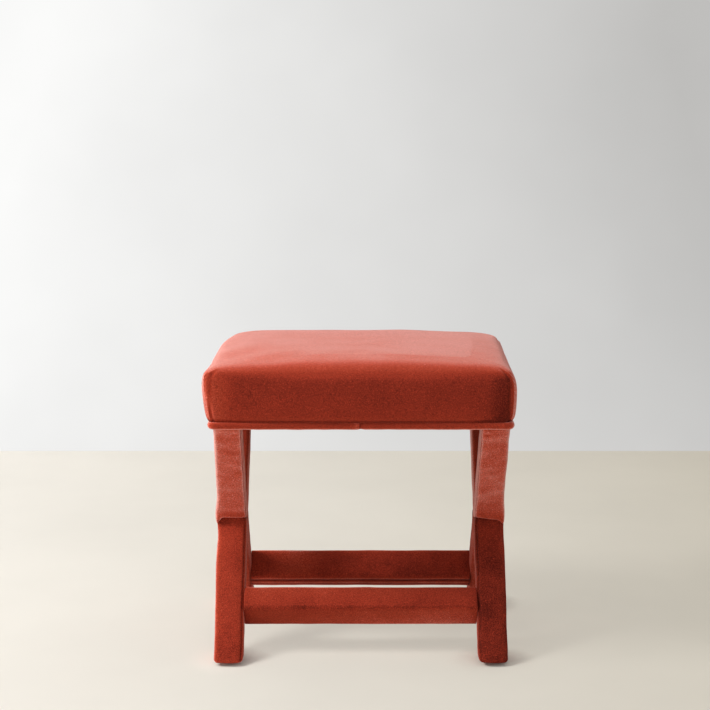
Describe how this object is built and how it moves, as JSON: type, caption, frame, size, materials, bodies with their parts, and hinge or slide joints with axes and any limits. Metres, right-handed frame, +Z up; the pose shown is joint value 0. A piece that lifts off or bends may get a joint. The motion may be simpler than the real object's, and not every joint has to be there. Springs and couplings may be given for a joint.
{
  "type": "upholstered vanity stool",
  "caption": "Fully upholstered vanity stool: a crowned box seat with a piped lower edge on two crossed-leg end frames joined by low padded stretchers.",
  "frame": {"origin": "on the floor, under the middle of the seat", "axes": "+Z up, +X to the right seen from the front, -Y towards the front; the crossed-leg frames stand at the -X and +X ends"},
  "size_m": [0.4998, 0.4118, 0.4983],
  "materials": {
    "velvet": "cotton velvet, short pile with a soft sheen",
    "wadding": "polyester wadding, matt",
    "foam": "cut polyurethane foam",
    "hardwood": "planed, unfinished",
    "plywood": "sanded, unfinished",
    "cambric": "black non-woven dust cloth",
    "piping_cotton": "twisted cotton piping cord",
    "fastener_steel": "zinc plated",
    "glide_nylon": "moulded black nylon"
  },
  "bodies": {
    "root": {"seat_cover": "velvet", "welt_strip": "velvet", "left_front_lower_leg_velvet": "velvet", "left_front_upper_leg_velvet": "velvet", "left_rear_lower_leg_velvet": "velvet", "left_rear_upper_leg_velvet": "velvet", "right_front_lower_leg_velvet": "velvet", "right_front_upper_leg_velvet": "velvet", "right_rear_lower_leg_velvet": "velvet", "right_rear_upper_leg_velvet": "velvet", "front_stretcher_velvet": "velvet", "rear_stretcher_velvet": "velvet", "seat_wadding": "wadding", "left_front_lower_leg_wadding": "wadding", "left_front_upper_leg_wadding": "wadding", "left_rear_lower_leg_wadding": "wadding", "left_rear_upper_leg_wadding": "wadding", "right_front_lower_leg_wadding": "wadding", "right_front_upper_leg_wadding": "wadding", "right_rear_lower_leg_wadding": "wadding", "right_rear_upper_leg_wadding": "wadding", "front_stretcher_wadding": "wadding", "rear_stretcher_wadding": "wadding", "left_rising_leg_bar": "hardwood", "left_falling_leg_bar": "hardwood", "right_rising_leg_bar": "hardwood", "right_falling_leg_bar": "hardwood", "front_stretcher_core": "hardwood", "rear_stretcher_core": "hardwood", "front_left_corner_block": "hardwood", "front_right_corner_block": "hardwood", "rear_left_corner_block": "hardwood", "rear_right_corner_block": "hardwood", "left_rail": "hardwood", "right_rail": "hardwood", "front_rail": "hardwood", "rear_rail": "hardwood", "front_left_stretcher_dowel": "hardwood", "front_right_stretcher_dowel": "hardwood", "rear_left_stretcher_dowel": "hardwood", "rear_right_stretcher_dowel": "hardwood", "left_lap_screw": "fastener_steel", "right_lap_screw": "fastener_steel", "front_left_seat_bolt": "fastener_steel", "front_left_stretcher_screw": "fastener_steel", "front_right_seat_bolt": "fastener_steel", "front_right_stretcher_screw": "fastener_steel", "rear_left_seat_bolt": "fastener_steel", "rear_left_stretcher_screw": "fastener_steel", "rear_right_seat_bolt": "fastener_steel", "rear_right_stretcher_screw": "fastener_steel", "front_left_glide": "glide_nylon", "front_right_glide": "glide_nylon", "rear_left_glide": "glide_nylon", "rear_right_glide": "glide_nylon", "seat_foam": "foam", "seat_deck": "plywood", "welt_cord": "piping_cotton", "dust_cover": "cambric"}
  },
  "joints": []
}
